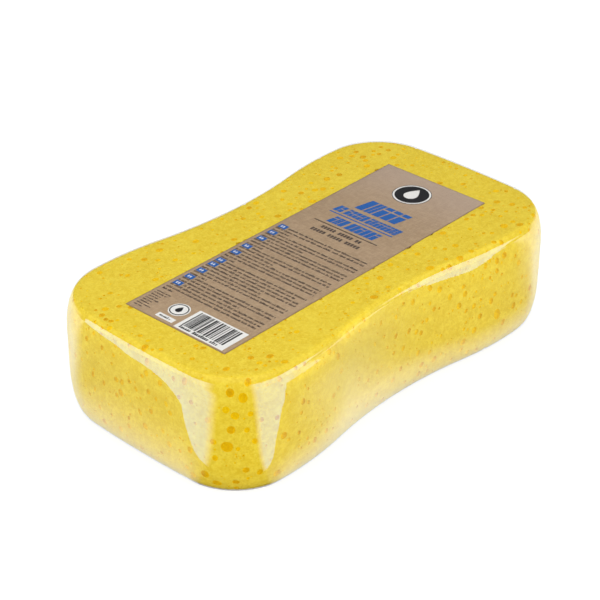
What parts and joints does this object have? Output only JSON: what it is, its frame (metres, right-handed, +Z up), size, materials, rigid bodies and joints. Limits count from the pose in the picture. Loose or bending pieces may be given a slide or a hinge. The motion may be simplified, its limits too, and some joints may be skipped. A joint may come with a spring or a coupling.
{
  "type": "cleaning sponge",
  "caption": "Hourglass-shaped washing sponge of open-pored yellow foam, tightly wrapped in clear film with a card label under the film.",
  "frame": {"origin": "middle of the part's footprint, on the surface that it lies on", "axes": "+X along the length, towards the label's headings; +Y across the width; +Z up out of the labelled face"},
  "size_m": [0.2196, 0.1202, 0.0562],
  "materials": {
    "film": "clear glossy shrink film",
    "foam": "soft yellow open-cell foam with round pores",
    "card": "uncoated brown kraft card",
    "white_ink": "white print",
    "blue_ink": "blue print",
    "dark_ink": "dark brown and black print"
  },
  "bodies": {
    "root": {"film_wrap": "film", "sponge": "foam", "label": "card", "print_white": "white_ink", "print_blue": "blue_ink", "print_dark": "dark_ink"}
  },
  "joints": []
}
